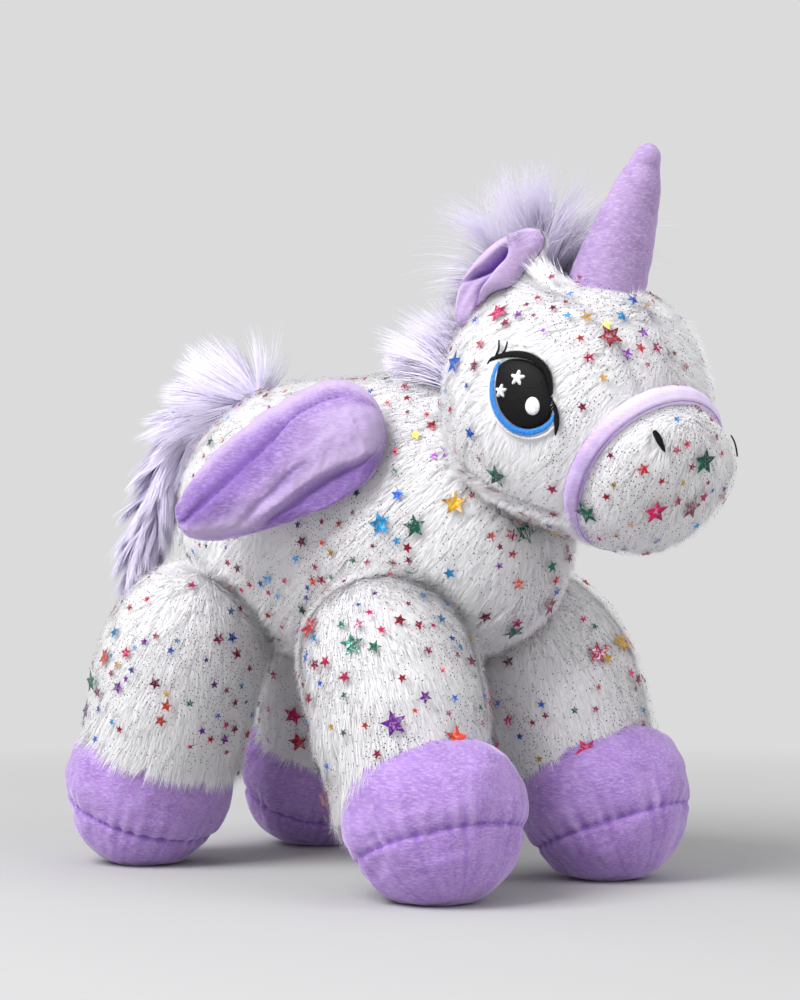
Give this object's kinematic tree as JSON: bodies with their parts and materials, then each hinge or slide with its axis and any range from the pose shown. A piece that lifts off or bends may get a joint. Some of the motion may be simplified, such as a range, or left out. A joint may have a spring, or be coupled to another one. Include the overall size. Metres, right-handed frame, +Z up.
{
  "type": "plush unicorn",
  "caption": "Standing stuffed toy unicorn in star-printed fur, with hinged wings, folding ears, a lifting tail, a padded horn and flat-resting hooves.",
  "frame": {"origin": "on the floor, below the middle of the outer box", "axes": "+Z up, -Y towards the nose, +Y towards the tail, +X to the toy's left"},
  "size_m": [0.1932, 0.3386, 0.3198],
  "materials": {
    "white_fur": "white fur fabric with a 10 mm pile, printed with foil stars and glitter dots",
    "lavender_velboa": "lavender short-pile velboa, brushed",
    "long_pile": "pale lavender long-pile fabric, in loose locks",
    "stuffing": "white polyester fibre stuffing, hidden inside",
    "black_thread": "black satin embroidery thread",
    "blue_thread": "blue satin embroidery thread",
    "white_thread": "white satin embroidery thread"
  },
  "bodies": {
    "body": {"body_left_panel": "white_fur", "body_right_panel": "white_fur", "belly_gusset": "white_fur", "body_stuffing": "stuffing", "head_left_panel": "white_fur", "head_right_panel": "white_fur", "forehead_gusset": "white_fur", "jaw_gusset": "white_fur", "muzzle_panel": "white_fur", "head_stuffing": "stuffing", "noseband": "lavender_velboa", "left_eye_patch": "black_thread", "left_eye_rim": "blue_thread", "left_eye_highlights": "white_thread", "left_eye_lashes": "black_thread", "right_eye_patch": "black_thread", "right_eye_rim": "blue_thread", "right_eye_highlights": "white_thread", "right_eye_lashes": "black_thread", "left_nostril": "black_thread", "right_nostril": "black_thread", "horn_cover": "lavender_velboa", "horn_stuffing": "stuffing", "mane": "long_pile", "front_left_leg_skin": "white_fur", "front_left_leg_stuffing": "stuffing", "front_left_hoof_upper": "lavender_velboa", "front_left_hoof_sole": "lavender_velboa", "front_right_leg_skin": "white_fur", "front_right_leg_stuffing": "stuffing", "front_right_hoof_upper": "lavender_velboa", "front_right_hoof_sole": "lavender_velboa", "hind_left_leg_skin": "white_fur", "hind_left_leg_stuffing": "stuffing", "hind_left_hoof_upper": "lavender_velboa", "hind_left_hoof_sole": "lavender_velboa", "hind_right_leg_skin": "white_fur", "hind_right_leg_stuffing": "stuffing", "hind_right_hoof_upper": "lavender_velboa", "hind_right_hoof_sole": "lavender_velboa"},
    "left_ear": {"left_ear_back": "white_fur", "left_ear_lining": "lavender_velboa"},
    "right_ear": {"right_ear_back": "white_fur", "right_ear_lining": "lavender_velboa"},
    "tail": {"tail": "long_pile"},
    "left_wing": {"left_wing_top": "lavender_velboa", "left_wing_under": "lavender_velboa", "left_wing_stuffing": "stuffing"},
    "right_wing": {"right_wing_top": "lavender_velboa", "right_wing_under": "lavender_velboa", "right_wing_stuffing": "stuffing"}
  },
  "joints": [
    {"name": "right_wing_flap", "type": "hinge", "parent": "body", "child": "right_wing", "pos_m": [-0.05493, -0.02103, 0.20467], "axis": [0.0699, 0.4938, 0.8667], "range_deg": [0, 60]},
    {"name": "left_wing_flap", "type": "hinge", "parent": "body", "child": "left_wing", "pos_m": [0.05493, -0.02103, 0.20467], "axis": [0.0699, -0.4938, -0.8667], "range_deg": [0, 60]},
    {"name": "right_ear_fold", "type": "hinge", "parent": "body", "child": "right_ear", "pos_m": [-0.02888, -0.08149, 0.25391], "axis": [0.2206, -0.8933, 0.3915], "range_deg": [0, 30]},
    {"name": "left_ear_fold", "type": "hinge", "parent": "body", "child": "left_ear", "pos_m": [0.02888, -0.08149, 0.25391], "axis": [0.2206, 0.8933, -0.3915], "range_deg": [0, 30]},
    {"name": "tail_lift", "type": "hinge", "parent": "body", "child": "tail", "pos_m": [0, 0.10841, 0.22584], "axis": [1, 0, 0], "range_deg": [0, 60]}
  ]
}
